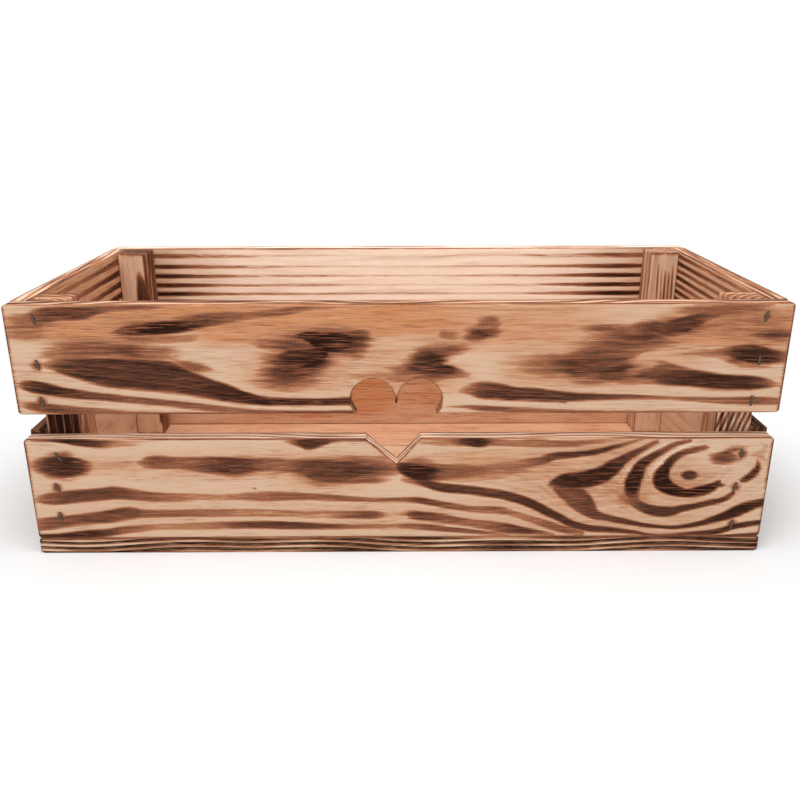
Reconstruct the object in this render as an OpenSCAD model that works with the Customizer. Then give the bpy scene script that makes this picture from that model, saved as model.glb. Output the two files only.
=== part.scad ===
// Flame-scorched pine crate with a heart cut across its two front slats.
// It is nailed together: four corner posts, two slats on each side, a floor of
// three boards, and narrow-crown staples.  Millimetres, +Z up, front towards -Y,
// origin in the middle of the underside.

/* [Crate] */
// Outside length, left to right
crate_l = 420; // [320:10:600]
// Outside depth, front to back
crate_d = 185; // [150:5:320]

/* [Slats] */
// Height of each front and back slat
slat_h = 62; // [50:1:90]
// Thickness of the front and back slats
slat_t = 10; // [8:0.5:14]
// Open gap between the upper and lower front and back slats
slat_gap = 15; // [8:1:30]
// How far the lower side slats stand above the lower front and back slats
side_rise = 2; // [0:0.5:6]
// Thickness of the side slats
side_t = 10; // [8:0.5:14]
// Radius of the sanded corners, seen square on to a slat
corner_r = 2; // [0.5:0.25:4]
// Width of the bevel left on every edge by the brush
edge_ease = 0.6; // [0.2:0.1:1]

/* [Posts] */
// Width of a corner post, left to right
post_w = 20; // [16:1:30]
// Depth of a corner post, front to back
post_d = 20; // [16:1:30]
// Distance from the rim down to the top of a post
post_drop = 0.5; // [0:0.5:20]

/* [Floor] */
// Thickness of the floor boards
floor_t = 10; // [8:0.5:16]
// Width of the back floor board; the other two share the rest of the depth
floor_back_w = 52; // [40:1:60]
// Gap between two floor boards
floor_seam = 0.5; // [0:0.1:2]

/* [Heart] */
// Middle of the heart, left (-) or right (+) of the crate's middle
heart_x = -1.6; // [-20:0.2:20]
// Radius of the two drilled lobes
lobe_r = 12.3; // [9:0.1:16]
// Thickness of the web left between the lobes at its thinnest
web_t = 1.2; // [0.8:0.1:3]
// Height of the lobes' centres above the lower edge of the upper slat
lobe_rise = 8; // [5:0.5:12]
// How far the web's tip hangs below the lobes' centres
web_drop = 1.8; // [0:0.1:3]
// Reach of the notch in the lower slat, from its point to the left
notch_left = 16.8; // [8:0.2:20]
// Reach of the notch, from its point to the right
notch_right = 13.8; // [8:0.2:20]
// Depth of the notch
notch_depth = 15.6; // [8:0.2:20]
// Height of the upright start of the notch's left side
notch_lip = 0.8; // [0:0.1:2]

/* [Staples] */
// Overall length of a staple's crown
crown_l = 5.6; // [4:0.1:8]
// Width of the staple wire
wire_w = 1.2; // [0.8:0.1:1.6]
// Thickness of the staple wire
wire_t = 0.9; // [0.6:0.1:1.2]
// Length of a staple, crown included
staple_l = 22; // [18:1:22]
// Depth of the crown below the wood's surface
crown_sink = 0.3; // [0.1:0.1:1]
// Distance of the staples from the nearest side of the post that they enter
staple_inset = 5.5; // [4:0.5:8]

/* [Hidden] */

WOOD = "burlywood";
SCORCHED = "peru";
STEEL = "silver";

LEFT = -1;
RIGHT = 1;
FRONT = -1;
BACK = 1;

cut = 0.5;           // how far a cutter reaches past the face that it opens
corner_steps = 5;    // chords in each rounded corner
point_l = 1.6;       // length of the chisel point on a staple's leg
hole_fn = 96;         // sides of each drilled lobe, where a mesh is drawn

upper_z = floor_t + slat_h + slat_gap;   // lower edge of the upper front slat
crate_h = upper_z + slat_h;
side_l = crate_d - 2 * slat_t;           // side slats stand between front and back
post_h = crate_h - post_drop - floor_t;
lobe_x = lobe_r + web_t / 2;             // lobe centre from the heart's middle
staple_x = crate_l / 2 - side_t - staple_inset;
side_staple_y = side_l / 2 - post_d + staple_inset;

// Hand-driven staples at the left and right end of the front slats, from the
// bottom up: share of the slat's height, shift outwards in mm, lean in degrees
upper_driven = [
    [[0.12, 1.5, -8], [0.46, 1, -10], [0.87, -0.5, -12]],
    [[0.11, -0.5, 0], [0.49, 0.5, 0], [0.88, 1, 9]]
];
lower_driven = [
    [[0.22, 1, -8], [0.52, 0.5, -20], [0.83, -2.5, -32]],
    [[0.12, -1.5, 6], [0.5, -2.5, 11], [0.84, -1.5, -6]]
];
// The same for the back slats, which are stapled more evenly
back_end = [[0.14, 0, 0], [0.5, 0.5, 4], [0.86, -0.5, -3]];
back_driven = [back_end, back_end];
// Heights of the side staples as shares of a front slat's height, between the
// front ones, so that the legs never meet inside a post
side_rows = [0.33, 0.68];

// Floor boards: front edge and back edge of each, front to back
floor_w = (crate_d - floor_back_w) / 2 - floor_seam;
floor_y = [
    for (n = [0, 1])
        [-crate_d / 2 + n * (floor_w + floor_seam),
         -crate_d / 2 + n * (floor_w + floor_seam) + floor_w],
    [crate_d / 2 - floor_back_w, crate_d / 2]
];
floor_end_places = [0.23, 0.77]; // staples across a board's end, as shares of it
floor_rail_places = [-0.31, 0, 0.31]; // staples along an edge, as shares of it

// Outline of a rectangle with rounded corners, from 0,0 to l,h.
function round_rect(l, h, r) = [
    for (c = [[l - r, r, 270], [l - r, h - r, 0], [r, h - r, 90], [r, r, 180]])
        for (i = [0 : corner_steps])
            let (a = c[2] + 90 * i / corner_steps)
                [c[0] + r * cos(a), c[1] + r * sin(a)]
];

// Outline of a rectangle with bevelled corners, from 0,0 to l,h.
function bevel_rect(l, h, c) = [
    [c, 0], [l - c, 0], [l, c], [l, h - c],
    [l - c, h], [c, h], [0, h - c], [0, c]
];

// A sawn length of wood: l along X, t along Y, h along Z, every edge eased.
module timber(l, t, h, face_r) {
    intersection() {
        translate([0, t, 0])
            rotate([90, 0, 0])
                linear_extrude(t)
                    polygon(round_rect(l, h, face_r));
        rotate([90, 0, 90])
            linear_extrude(l)
                polygon(bevel_rect(t, h, edge_ease));
        linear_extrude(h)
            polygon(bevel_rect(l, t, edge_ease));
    }
}

// A front or back slat on the side given, with its lower edge at z.
module long_slat(side, z) {
    y = side == FRONT ? -crate_d / 2 : crate_d / 2 - slat_t;
    translate([-crate_l / 2, y, z])
        timber(crate_l, slat_t, slat_h, corner_r);
}

// A side slat of height h, between the front and back slats.
module side_slat(side, z, h) {
    x = side == LEFT ? -crate_l / 2 + side_t : crate_l / 2;
    translate([x, -side_l / 2, z])
        rotate([0, 0, 90])
            timber(side_l, side_t, h, edge_ease);
}

// A corner post, standing on the floor boards.
module post(side, end) {
    x = side == LEFT ? -crate_l / 2 + side_t : crate_l / 2 - side_t - post_w;
    y = end == FRONT ? -side_l / 2 : side_l / 2 - post_d;
    translate([x, y, floor_t])
        timber(post_w, post_d, post_h, edge_ease);
}

// Floor board number n, counted from the front.
module floor_board(n) {
    translate([-crate_l / 2, floor_y[n][0], 0])
        timber(crate_l, floor_y[n][1] - floor_y[n][0], floor_t, corner_r);
}

// One staple: crown upright on Z with its outer face at y = 0, legs towards +Y.
// As a seat it is the hole that the staple leaves, open to the wood's surface.
module staple(seat) {
    outer = seat ? -crown_sink - cut : 0;
    half = crown_l / 2;
    translate([-wire_w / 2, 0, 0])
        rotate([90, 0, 90])
            linear_extrude(wire_w)
                polygon([
                    [outer, -half], [staple_l - point_l, -half],
                    [staple_l, wire_t / 2 - half], [staple_l - point_l, wire_t - half],
                    [wire_t, wire_t - half], [wire_t, half - wire_t],
                    [staple_l - point_l, half - wire_t], [staple_l, half - wire_t / 2],
                    [staple_l - point_l, half], [outer, half]
                ]);
}

// The three staples at one end of a long slat with its lower edge at z.
module end_staples(side, face, z, driven, seat) {
    for (d = driven[side == LEFT ? 0 : 1])
        translate([side * (staple_x + d[1]),
                   face * (crate_d / 2 - crown_sink),
                   z + d[0] * slat_h])
            rotate([0, 0, face == FRONT ? 0 : 180])
                rotate([0, d[2], 0])
                    staple(seat);
}

// The staples of both side slats into the post at one end of them.
module side_staples(side, end, seat) {
    for (z = [floor_t, upper_z])
        for (row = side_rows)
            translate([side * (crate_l / 2 - crown_sink),
                       end * side_staple_y,
                       z + row * slat_h])
                rotate([0, 0, side == LEFT ? -90 : 90])
                    staple(seat);
}

// Floor staples along a short end, driven up into the lower side slat.
module floor_end_staples(side, seat) {
    for (board = floor_y) {
        y0 = max(board[0], -side_l / 2);
        y1 = min(board[1], side_l / 2);
        for (place = floor_end_places)
            translate([side * (crate_l - side_t) / 2,
                       y0 + place * (y1 - y0), crown_sink])
                rotate([90, 0, 0])
                    staple(seat);
    }
}

// Floor staples along a long edge, driven up into the lower front or back slat.
module floor_rail_staples(face, seat) {
    for (place = floor_rail_places)
        translate([place * crate_l, face * (crate_d - slat_t) / 2, crown_sink])
            rotate([0, 0, 90])
                rotate([90, 0, 0])
                    staple(seat);
}

// The upper half of the heart: two drilled lobes and the open foot between them.
module heart_lobes() {
    translate([heart_x, -crate_d / 2, upper_z]) {
        for (s = [LEFT, RIGHT])
            translate([s * lobe_x, -cut, lobe_rise])
                rotate([-90, 0, 0])
                    cylinder(r = lobe_r, h = slat_t + 2 * cut, $fn = hole_fn);
        translate([-lobe_x, -cut, -cut])
            cube([2 * lobe_x, slat_t + 2 * cut, lobe_rise - web_drop + cut]);
    }
}

// The point of the heart: a sawn notch in the top edge of the lower slat.
module heart_notch() {
    translate([heart_x, -crate_d / 2 + slat_t + cut, floor_t + slat_h])
        rotate([90, 0, 0])
            linear_extrude(slat_t + 2 * cut)
                polygon([
                    [-notch_left, cut], [-notch_left, -notch_lip],
                    [0, -notch_depth],
                    [notch_right, 0], [notch_right, cut]
                ]);
}

module front_upper_slat() {
    color(SCORCHED)
        difference() {
            long_slat(FRONT, upper_z);
            heart_lobes();
            for (s = [LEFT, RIGHT])
                end_staples(s, FRONT, upper_z, upper_driven, true);
        }
}

module front_lower_slat() {
    color(SCORCHED)
        difference() {
            long_slat(FRONT, floor_t);
            heart_notch();
            for (s = [LEFT, RIGHT])
                end_staples(s, FRONT, floor_t, lower_driven, true);
            floor_rail_staples(FRONT, true);
        }
}

module back_upper_slat() {
    color(SCORCHED)
        difference() {
            long_slat(BACK, upper_z);
            for (s = [LEFT, RIGHT])
                end_staples(s, BACK, upper_z, back_driven, true);
        }
}

module back_lower_slat() {
    color(SCORCHED)
        difference() {
            long_slat(BACK, floor_t);
            for (s = [LEFT, RIGHT])
                end_staples(s, BACK, floor_t, back_driven, true);
            floor_rail_staples(BACK, true);
        }
}

module upper_side_slat(side) {
    color(SCORCHED)
        difference() {
            side_slat(side, upper_z, slat_h);
            for (end = [FRONT, BACK])
                side_staples(side, end, true);
        }
}

module lower_side_slat(side) {
    color(SCORCHED)
        difference() {
            side_slat(side, floor_t, slat_h + side_rise);
            for (end = [FRONT, BACK])
                side_staples(side, end, true);
            floor_end_staples(side, true);
        }
}

module corner_post(side, end) {
    color(WOOD)
        difference() {
            post(side, end);
            end_staples(side, end, upper_z, end == FRONT ? upper_driven : back_driven, true);
            end_staples(side, end, floor_t, end == FRONT ? lower_driven : back_driven, true);
            side_staples(side, end, true);
        }
}

module stapled_floor_board(n) {
    color(WOOD)
        difference() {
            floor_board(n);
            for (s = [LEFT, RIGHT])
                floor_end_staples(s, true);
            for (face = [FRONT, BACK])
                floor_rail_staples(face, true);
        }
}

module slat_staples(face, z, driven) {
    color(STEEL)
        for (s = [LEFT, RIGHT])
            end_staples(s, face, z, driven, false);
}

module all_side_staples(side) {
    color(STEEL)
        for (end = [FRONT, BACK])
            side_staples(side, end, false);
}

module floor_staples() {
    color(STEEL) {
        for (s = [LEFT, RIGHT])
            floor_end_staples(s, false);
        for (face = [FRONT, BACK])
            floor_rail_staples(face, false);
    }
}

front_upper_slat();
front_lower_slat();
back_upper_slat();
back_lower_slat();
upper_side_slat(LEFT);  // left_upper_slat
lower_side_slat(LEFT);  // left_lower_slat
upper_side_slat(RIGHT);  // right_upper_slat
lower_side_slat(RIGHT);  // right_lower_slat
corner_post(LEFT, FRONT);  // post_front_left
corner_post(RIGHT, FRONT);  // post_front_right
corner_post(LEFT, BACK);  // post_back_left
corner_post(RIGHT, BACK);  // post_back_right
stapled_floor_board(0);  // floor_board_front
stapled_floor_board(1);  // floor_board_middle
stapled_floor_board(2);  // floor_board_back
slat_staples(FRONT, upper_z, upper_driven);  // front_upper_staples
slat_staples(FRONT, floor_t, lower_driven);  // front_lower_staples
slat_staples(BACK, upper_z, back_driven);  // back_upper_staples
slat_staples(BACK, floor_t, back_driven);  // back_lower_staples
all_side_staples(LEFT);  // left_staples
all_side_staples(RIGHT);  // right_staples
floor_staples();
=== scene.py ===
import math
from dataclasses import dataclass
from math import cos, pi, radians, sin

import bpy
import numpy as np
from bpy.props import FloatProperty, FloatVectorProperty, PointerProperty
from bpy.types import Operator, Panel, PropertyGroup
from mathutils import Matrix, Vector
from mathutils.geometry import delaunay_2d_cdt


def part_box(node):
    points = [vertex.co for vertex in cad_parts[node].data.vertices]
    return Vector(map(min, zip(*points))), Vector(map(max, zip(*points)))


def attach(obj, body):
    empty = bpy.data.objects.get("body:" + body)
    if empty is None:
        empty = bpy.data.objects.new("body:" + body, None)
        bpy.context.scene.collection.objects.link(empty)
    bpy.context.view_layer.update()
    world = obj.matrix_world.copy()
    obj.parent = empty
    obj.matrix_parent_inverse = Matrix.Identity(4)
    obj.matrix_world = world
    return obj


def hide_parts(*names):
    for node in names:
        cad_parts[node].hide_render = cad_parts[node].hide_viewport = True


bl_info = {
    "name": "Scorched Card Crate",
    "version": (1, 0, 0),
    "blender": (4, 5, 0),
    "location": "View3D > Sidebar > Card Crate",
    "description": "Dresses a slatted card box in flame-scorched, brushed softwood",
    "category": "Object",
}

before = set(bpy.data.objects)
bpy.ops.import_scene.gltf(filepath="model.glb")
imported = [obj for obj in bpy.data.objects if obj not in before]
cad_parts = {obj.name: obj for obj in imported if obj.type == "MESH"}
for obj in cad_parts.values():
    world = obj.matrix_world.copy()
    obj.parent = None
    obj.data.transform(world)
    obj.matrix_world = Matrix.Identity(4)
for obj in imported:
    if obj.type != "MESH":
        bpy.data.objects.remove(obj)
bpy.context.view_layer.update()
MM = 0.001  # every size below is in millimetres

# How each board lies: along its grain, across its face, and into its thickness.
LYING = {"slat": "XZY", "side": "YZX", "floor": "XYZ", "post": "ZXY"}
HEART_LOBES = ((-14.5, 95), (11.3, 95))  # centres of the two round lobes, right and up
LOBE_RADIUS = 12.3
HEART_FOOT = 93.2  # tip of the thin web between the lobes
NOTCH = ((-18.4, 72), (-18.4, 71.2), (-1.6, 56.4), (12.2, 72))  # round the notch, left to right
STAPLE_HALF = 2.8  # half the width of a staple's crown
STAPLE_PATCH = 4.3  # half the side of the square of finer mesh round each staple
PATCH_POINTS = 24  # points along each side of that square
WALL_STEP = 1.2  # spacing of a board's points through its thickness
PLANER_PITCH = 1.35  # between the fine marks that the planer left across the grain
THINNEST_MARK = .4  # least half height of a burn mark
MARK_REACH = 14  # no burn mark reaches further than this from its line
EDGE_CHAR, END_CHAR, STAPLE_SHADOW_REACH = .5, 1.1, 2.6  # how far the burn reaches in from edges and ends, and how far the painted shadow round a staple reaches
CLOUD_KNOTS = 64  # knots along each side of a sheet of soft blotches, before it repeats
CLOUD_SHIFT, CLOUD_FLAT = 30, .2  # knots from the sheet's corner to the box, and how flat the blotches are
CROWN_DEPTH, CROWN_SPREAD = .5, 8  # a crown's points are this near the face, and this near each other
DENT_REACH = 1.5  # how far from its crown a staple bruised the wood

# Camera: place in millimetres from under the middle of the box, lens in millimetres, turns in degrees.
CAMERA_PLACE = (-.7, -503.6, 247.74)
CAMERA_LENS, CAMERA_SENSOR, CAMERA_SHIFT = 35.94, 36, -.0273
CAMERA_TURN, CAMERA_DOWN, CAMERA_ROLL = -.162, 18.805, -.12
# Lamps: name, place in metres, side in metres, watts. They point at the middle of the box.
LAMPS = (("key", (-.4, -1, 1.5), 1.2, 13), ("top", (.05, -.3, .9), .5, 3), ("inside", (0, -.06, .5), .3, .79))
LAMPS_AIM = (0, 0, .08)
FLOOR_REACH = 6  # half the side of the floor in metres
RAYS = (0, 3, 6)  # Light Path's outputs for the camera, for mirrors and for glass
SHADE_REACH = (.27, .16)  # half the length and depth in metres of the oval of floor that keeps its shadow

# Burn marks of the front slats. Each is a list of stations, and a station is mm right of the middle,
# mm up, mm of half height and how dark it is from 0 to 1.
UPPER_MARKS = {
    "left corner": [(-209, 133, 3, .16), (-201, 136, 4.5, .3), (-194, 140.5, 5, .46), (-184, 144, 4, .74),
        (-168, 144.5, 3.6, .76), (-156, 146.5, 2, .6), (-131, 148, 1.5, .5), (-120, 148.5, 1, .1)],
    "long dark": [(-155, 132.5, 1, .2), (-146, 134.5, 3, .7), (-136, 135.5, 3.5, .97), (-117, 137, 3.5, .96),
        (-106, 138.5, 2.5, .8), (-92, 141, 2.5, .6), (-74, 143.5, 2, .5), (-60, 145, 2, .55),
        (-45, 147, 1.5, .4), (-20, 148.5, 1, .2)],
    "under long": [(-155, 131, 1.5, .2), (-144, 130, 1.5, .5), (-130, 129.5, 2, .45), (-112, 130.5, 2, .36),
        (-106, 132, 1, .1)],
    "over long": [(-120, 142, 1, .3), (-111, 142, 1.5, .6), (-97, 143, 1.5, .6), (-84, 144, 1.5, .4)],
    "big dark": [(-192, 116, 1.5, .25), (-184, 115.5, 4, .6), (-173, 113.5, 6, .78), (-157, 111.5, 8.5, .82),
        (-141, 110.5, 9, .82), (-127, 109, 9, .82), (-117, 106, 7.5, .82), (-106, 102.5, 6, .85),
        (-95, 99.5, 5, .9), (-84, 96.5, 3.5, .93), (-72, 94.5, 2.5, .93), (-45, 94, 2, .87),
        (-24, 94.5, 2.5, .86)],
    "big wisp": [(-122, 114.5, 2.5, .3), (-113, 113, 1.5, .45), (-105, 112, 1, .1)],
    "low band": [(-207, 104.5, 1.5, .2), (-201, 103.5, 3.5, .7), (-193, 102, 3.5, .9), (-183, 100, 3, .85),
        (-168, 98, 2.5, .7), (-140, 95, 2, .6), (-110, 91.5, 2, .52), (-88, 89, 1.5, .5), (-66, 88, 1, .7),
        (-26, 88, 1, .75)],
    "foot band": [(-208, 93, 1, .2), (-200, 91.5, 2.5, .64), (-187, 90, 2.5, .66), (-165, 88.5, 2, .5),
        (-137, 87.5, 1, .6), (-88, 87, 1, .6)],
    "right foot": [(25, 91, .5, .15), (35, 91, 1, .4), (45, 90, 1.5, .6), (64, 89, 1.5, .62),
        (94, 88, 1, .58), (120, 87.5, 1, .5), (208, 87, .5, .5)],
    "middle core": [(-66, 132, .5, .4), (-56, 131.5, 1, .7), (-49, 131.5, 3, .95), (-41, 128.5, 5.5, 1),
        (-35, 128, 6, 1), (-29, 128.5, 5, .92), (-25, 129.5, 2.5, .5), (-18, 130, 1, .2)],
    "middle left": [(-74, 120, 1, .2), (-66, 119.5, 2, .55), (-59, 120.5, 3.5, .84), (-51, 120.5, 4, .88),
        (-42, 122, 4, .95)],
    "middle streaks": [(-76, 127, .6, .3), (-64, 127.5, .8, .5), (-52, 127, .5, .4)],
    "by the heart": [(4, 116.5, 2.5, .2), (11, 115, 5, .6), (17, 113, 5.5, .68), (23, 110.5, 3, .6),
        (31, 109, 1.5, .3)],
    "spot": [(34, 130, 1, .2), (39, 130.5, 2.4, .58), (44, 132, 3.2, .68), (49, 134.5, 2.4, .6),
        (53, 138, 1.4, .4)],
    "web": [(-1.6, 98, .5, .1), (-1.6, 96, .8, .8), (-1.6, 92.5, .9, 1)],
    "spot streak": [(43, 139, .6, .3), (48, 139, 1, .56), (53, 139.5, .5, .4)],
    "right low": [(33, 100.5, 1.5, .15), (40, 101, 3.5, .48), (46, 100.5, 5, .7), (54, 100, 4.5, .8),
        (63, 98.5, 4, .82), (73, 98.5, 3.5, .8), (83, 97.5, 3, .78), (96, 96.5, 2.5, .8),
        (110, 96.5, 2, .76), (127, 96.5, 1.4, .66), (150, 95.5, 1, .5), (180, 94, 2, .5),
        (196, 94, 2.5, .62), (210, 93.5, 2, .4)],
    "right low line": [(48, 95.5, .4, .6), (58, 95, .4, .9), (72, 94.5, .4, .85), (92, 93.5, .3, .7)],
    "right core": [(80, 117.5, 1, .1), (88, 119, 2.6, .34), (97, 119, 4.4, .62), (106, 119, 4.8, .72),
        (115, 119.5, 4.4, .72), (124, 121, 2.8, .64), (132, 123, 1.4, .5), (141, 124.5, .8, .3)],
    "first rise": [(104, 132, .8, .2), (111, 131.5, 1.6, .5), (120, 130.5, 2.4, .7), (129, 130, 2.6, .76),
        (137, 130.5, 2, .74), (146, 128.5, 1, .4)],
    "rise line": [(98, 135, .6, .3), (106, 135, 1.4, .6), (114, 135, 1.3, .58), (121, 134.5, .6, .3)],
    "rise": [(133, 134, 1.2, .4), (139, 134.5, 3.2, .7), (146, 135.5, 4.8, .8), (152, 137, 5, .84),
        (158, 139.5, 4, .76), (165, 142.5, 3, .62), (174, 145, 2.6, .58), (186, 146.5, 2, .54),
        (198, 148, 1, .3)],
    "right dark": [(137, 107, 3, .4), (145, 107.5, 4.2, .74), (154, 107.5, 4.8, .82), (164, 106.5, 4.8, .86),
        (176, 105, 4.4, .86), (190, 104.5, 4.2, .84), (199, 104, 3, .7), (207, 103.5, 1.2, .25)],
    "round the nails": [(168, 122.5, 1, .3), (176, 122.5, 2.4, .56), (184, 121.5, 4.4, .82),
        (192, 120.5, 5.4, .9), (199, 119.5, 4.6, .82), (206, 119, 3.4, .6), (211, 119, 3, .4)],
    "nail wisp": [(146, 121.5, .4, .1), (162, 121.5, .7, .4), (174, 122, 1.2, .5)],
}
LOWER_MARKS = {
    "lens": [(-206, 71.5, .5, .5), (-192, 71.5, 1, .9), (-181, 70.5, 2, .9), (-170, 69.5, 2.5, .8),
        (-161, 69.5, 2.5, .45), (-150, 69.5, 2, .2), (-138, 70.5, 1, .05)],
    "nail spot": [(-205, 56, 4, .2), (-198, 55.5, 6, .7), (-190, 55.5, 7, .88), (-182, 55.5, 5.4, .8),
        (-174, 56, 2.5, .3)],
    "long patch": [(-146, 57.5, 2, .3), (-138, 58, 4.2, .64), (-124, 57.5, 3.8, .56), (-113, 56.5, 4.6, .62),
        (-103, 56, 5.4, .74), (-92, 55.5, 5.6, .78), (-83, 56, 4.8, .62), (-73, 56.5, 4, .54),
        (-62, 56, 4, .54), (-54, 54.5, 5.4, .66), (-44, 52.5, 7.4, .75), (-31, 52, 6.8, .74),
        (-21, 54, 4.8, .6), (-10, 57, 2.6, .4)],
    "long core": [(-105, 53.5, 1.5, .7), (-97, 52.5, 2.4, .86), (-89, 52, 1.6, .5)],
    "band one": [(-209, 35, 1.5, .2), (-200, 35, 4, .6), (-188, 36.5, 4, .74), (-171, 38, 4, .74),
        (-162, 39, 4, .72), (-150, 37.5, 3.5, .62), (-135, 36, 3, .48), (-102, 36, 2, .34),
        (-79, 36.5, 3, .52), (-55, 36.5, 2.5, .56), (-17, 34, 1.5, .52), (1, 34, 1.5, .62),
        (12, 33.5, 2, .76), (24, 31, 2, .66), (41, 28, 2, .56), (58, 27, 2.5, .56), (67, 24.5, 2, .42),
        (82, 19, 2.5, .54), (94, 15, 2.5, .6), (106, 12, 2, .5)],
    "band two": [(-212, 18.5, 4, .5), (-202, 19.5, 4, .62), (-184, 22, 3.5, .68), (-167, 24, 4, .72),
        (-155, 26, 4, .68), (-141, 25.5, 2.5, .5), (-86, 26, 2.5, .42), (-57, 25, 2, .4),
        (-40, 24.5, 2.5, .36), (-25, 24.5, 2.5, .62), (-14, 24.5, 2.5, .62), (-5, 24.5, 1, .1),
        (4, 25, 2, .3), (9, 24, 3, .68), (24, 22, 3, .62), (41, 19, 2.5, .52), (59, 16, 3.5, .62),
        (70, 14, 2.5, .8), (82, 12.5, 1.5, .6), (90, 11, 1, .3)],
    "band three": [(-210, 11, 1.5, .87), (-197, 11.5, 1.5, .9), (-180, 12.5, 2.5, .9),
        (-168, 13.5, 2.5, .78), (-156, 15.5, 2.5, .55), (-139, 17, 2, .33), (-115, 17.5, 2.5, .33),
        (-92, 18, 2.5, .68), (-69, 18, 2.5, .8), (-46, 17, 2, .74), (-23, 17, 1.5, .48), (1, 17, 1.5, .5),
        (18, 16, 2, .64), (36, 14, 1.5, .64), (55, 12, 1, .5), (64, 11, .5, .2)],
    "notch lens": [(-64, 71, 1, .2), (-55, 69.5, 2.5, .78), (-50, 69, 3.5, .84), (-41, 70.5, 2, .78),
        (-33, 71.5, 1, .6), (-18, 71.5, 1, .7)],
    "top right": [(12, 70.5, 2, .3), (23, 70, 2.5, .35), (31, 70, 2.5, .5), (38, 70, 2.5, .88),
        (45, 69.5, 3, .9), (51, 70, 2.5, .6), (62, 69, 2, .4), (73, 69, 2.5, .46), (96, 68.5, 2, .5),
        (107, 69.5, 1.5, .5), (130, 71.5, 1, .15)],
    "low corner": [(168, 8.5, 1, .6), (188, 9.5, 1, .8), (209, 10.5, 1.5, .8)],
    "notch wisp": [(-30, 57, 3, .62), (-17, 57, 2.8, .56), (-8, 56.5, 2, .45), (0, 55.5, 1, .1)],
    "low wisp": [(-34, 47.5, 3, .62), (-22, 47.5, 3, .62), (-12, 46.5, 2, .5), (-3, 46.5, 1, .1)],
    "right of notch": [(-3, 57, 1, .3), (2, 54, 3.6, .8), (8, 52, 5, .95), (14, 51, 5.4, .92),
        (20, 51, 4, .7)],
    "arm": [(16, 54, 3, .7), (30, 54, 2, .6), (44, 53, 1.4, .34), (57, 53.5, 1.6, .3), (68, 56, 2.4, .45),
        (80, 58.5, 3, .64), (88, 61, 2.4, .82), (99, 62, 1.9, .84), (110, 63.5, 1.8, .84),
        (119, 66, 1.5, .8), (127, 68.5, 1.1, .6), (136, 71.5, .8, .4)],
    "slope": [(2, 46.5, 1.6, .3), (12, 45.5, 2.4, .8), (23, 42, 2.8, .82), (35, 40.5, 2.8, .8),
        (46, 39, 2.8, .8), (58, 37, 2.8, .82), (69, 34, 2.9, .84), (78, 30, 2.9, .86), (86, 25.5, 2.7, .86),
        (93, 22, 2.4, .86), (100, 18, 2.4, .86), (111, 15, 2.2, .84), (123, 14, 1.8, .84),
        (136, 12.5, 1.3, .8), (150, 10.5, .8, .7), (170, 11.5, 1.2, .82), (184, 12.5, 1.8, .9),
        (195, 16, 1.8, .9), (211, 19, 1.6, .86)],
    "crescent": [(182, 44.5, 1.3, .8), (179, 41.5, 2.6, .95), (172, 39, 3.3, 1), (164, 37.5, 2.8, 1),
        (156, 40, 3.8, 1), (150, 44, 4.8, 1), (149, 49, 4.4, 1), (151, 54, 3, .95), (154, 58.5, 2.6, .84),
        (159, 62.5, 2, .76), (166, 64.5, 1.8, .7), (172, 66, 1.6, .6)],
    "ring left": [(135, 33, 3.2, .6), (133.5, 36.5, 3.8, .66), (133, 40, 4.4, .82), (133, 44.5, 4.8, .97),
        (135, 50.5, 4.2, .98), (137, 55.5, 3.3, .95), (142, 60, 2.6, .84), (148, 64, 2, .76),
        (155, 68, 1.5, .66), (163, 70.5, 1, .6)],
    "ring low": [(132, 34, 2.4, .5), (137, 30.5, 3, .66), (143, 27.5, 3.2, .78), (150, 26, 3.5, .82),
        (157, 26, 3, .84), (164, 28, 2.3, .84), (173, 30, 1.8, .86), (181, 32, 1.8, .86), (187, 34, 1.6, .8),
        (191, 37.5, 1.4, .7)],
    "ring right": [(195, 45.5, 1.1, .7), (198, 47, 2, .84), (201.5, 50.5, 2.2, .86), (203, 53.5, 1.7, .8),
        (202.5, 58, .6, .5)],
    "arrow": [(86, 43.5, 1.3, .75), (89.5, 45, 2.8, .86), (95, 46, 4.6, .92), (102, 46, 5.2, .94),
        (110, 47.5, 5.6, .94), (116, 50, 5.4, .94), (121, 54, 4.8, .9), (126, 58.5, 3.2, .86),
        (132, 62.5, 2.3, .8), (138, 66, 1.8, .74), (144, 69.5, 1.2, .6)],
    "arrow body": [(90, 41.5, 2.6, .66), (95, 39.5, 5.4, .7), (100, 36.5, 6.6, .72), (104.5, 32.5, 6.6, .72),
        (108, 28.5, 5.2, .73), (113, 24, 3.2, .75), (120, 22, 2.2, .78), (129, 20, 2, .8),
        (140, 17.5, 1.5, .84), (150, 16, 1.2, .86), (161, 15.5, 1.2, .86), (172, 17.5, 1.7, .86),
        (183, 21, 2.3, .9), (191, 24, 3.3, .95), (198, 27.5, 3.6, .95), (205, 30.5, 2.8, .92),
        (211, 32, 2.6, .8)],
    "knot heart": [(160.5, 49.2, 1, .3), (163, 49, 2.8, .8), (166.5, 48.8, 2.8, .8), (169.5, 48.6, 1, .3)],
    "knot chip": [(183, 42.5, 1, 1), (186, 42.5, .5, .5)],
    "left dot": [(-83, 41.5, .5, .8), (-82, 41.5, .4, .6)],
}
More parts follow.
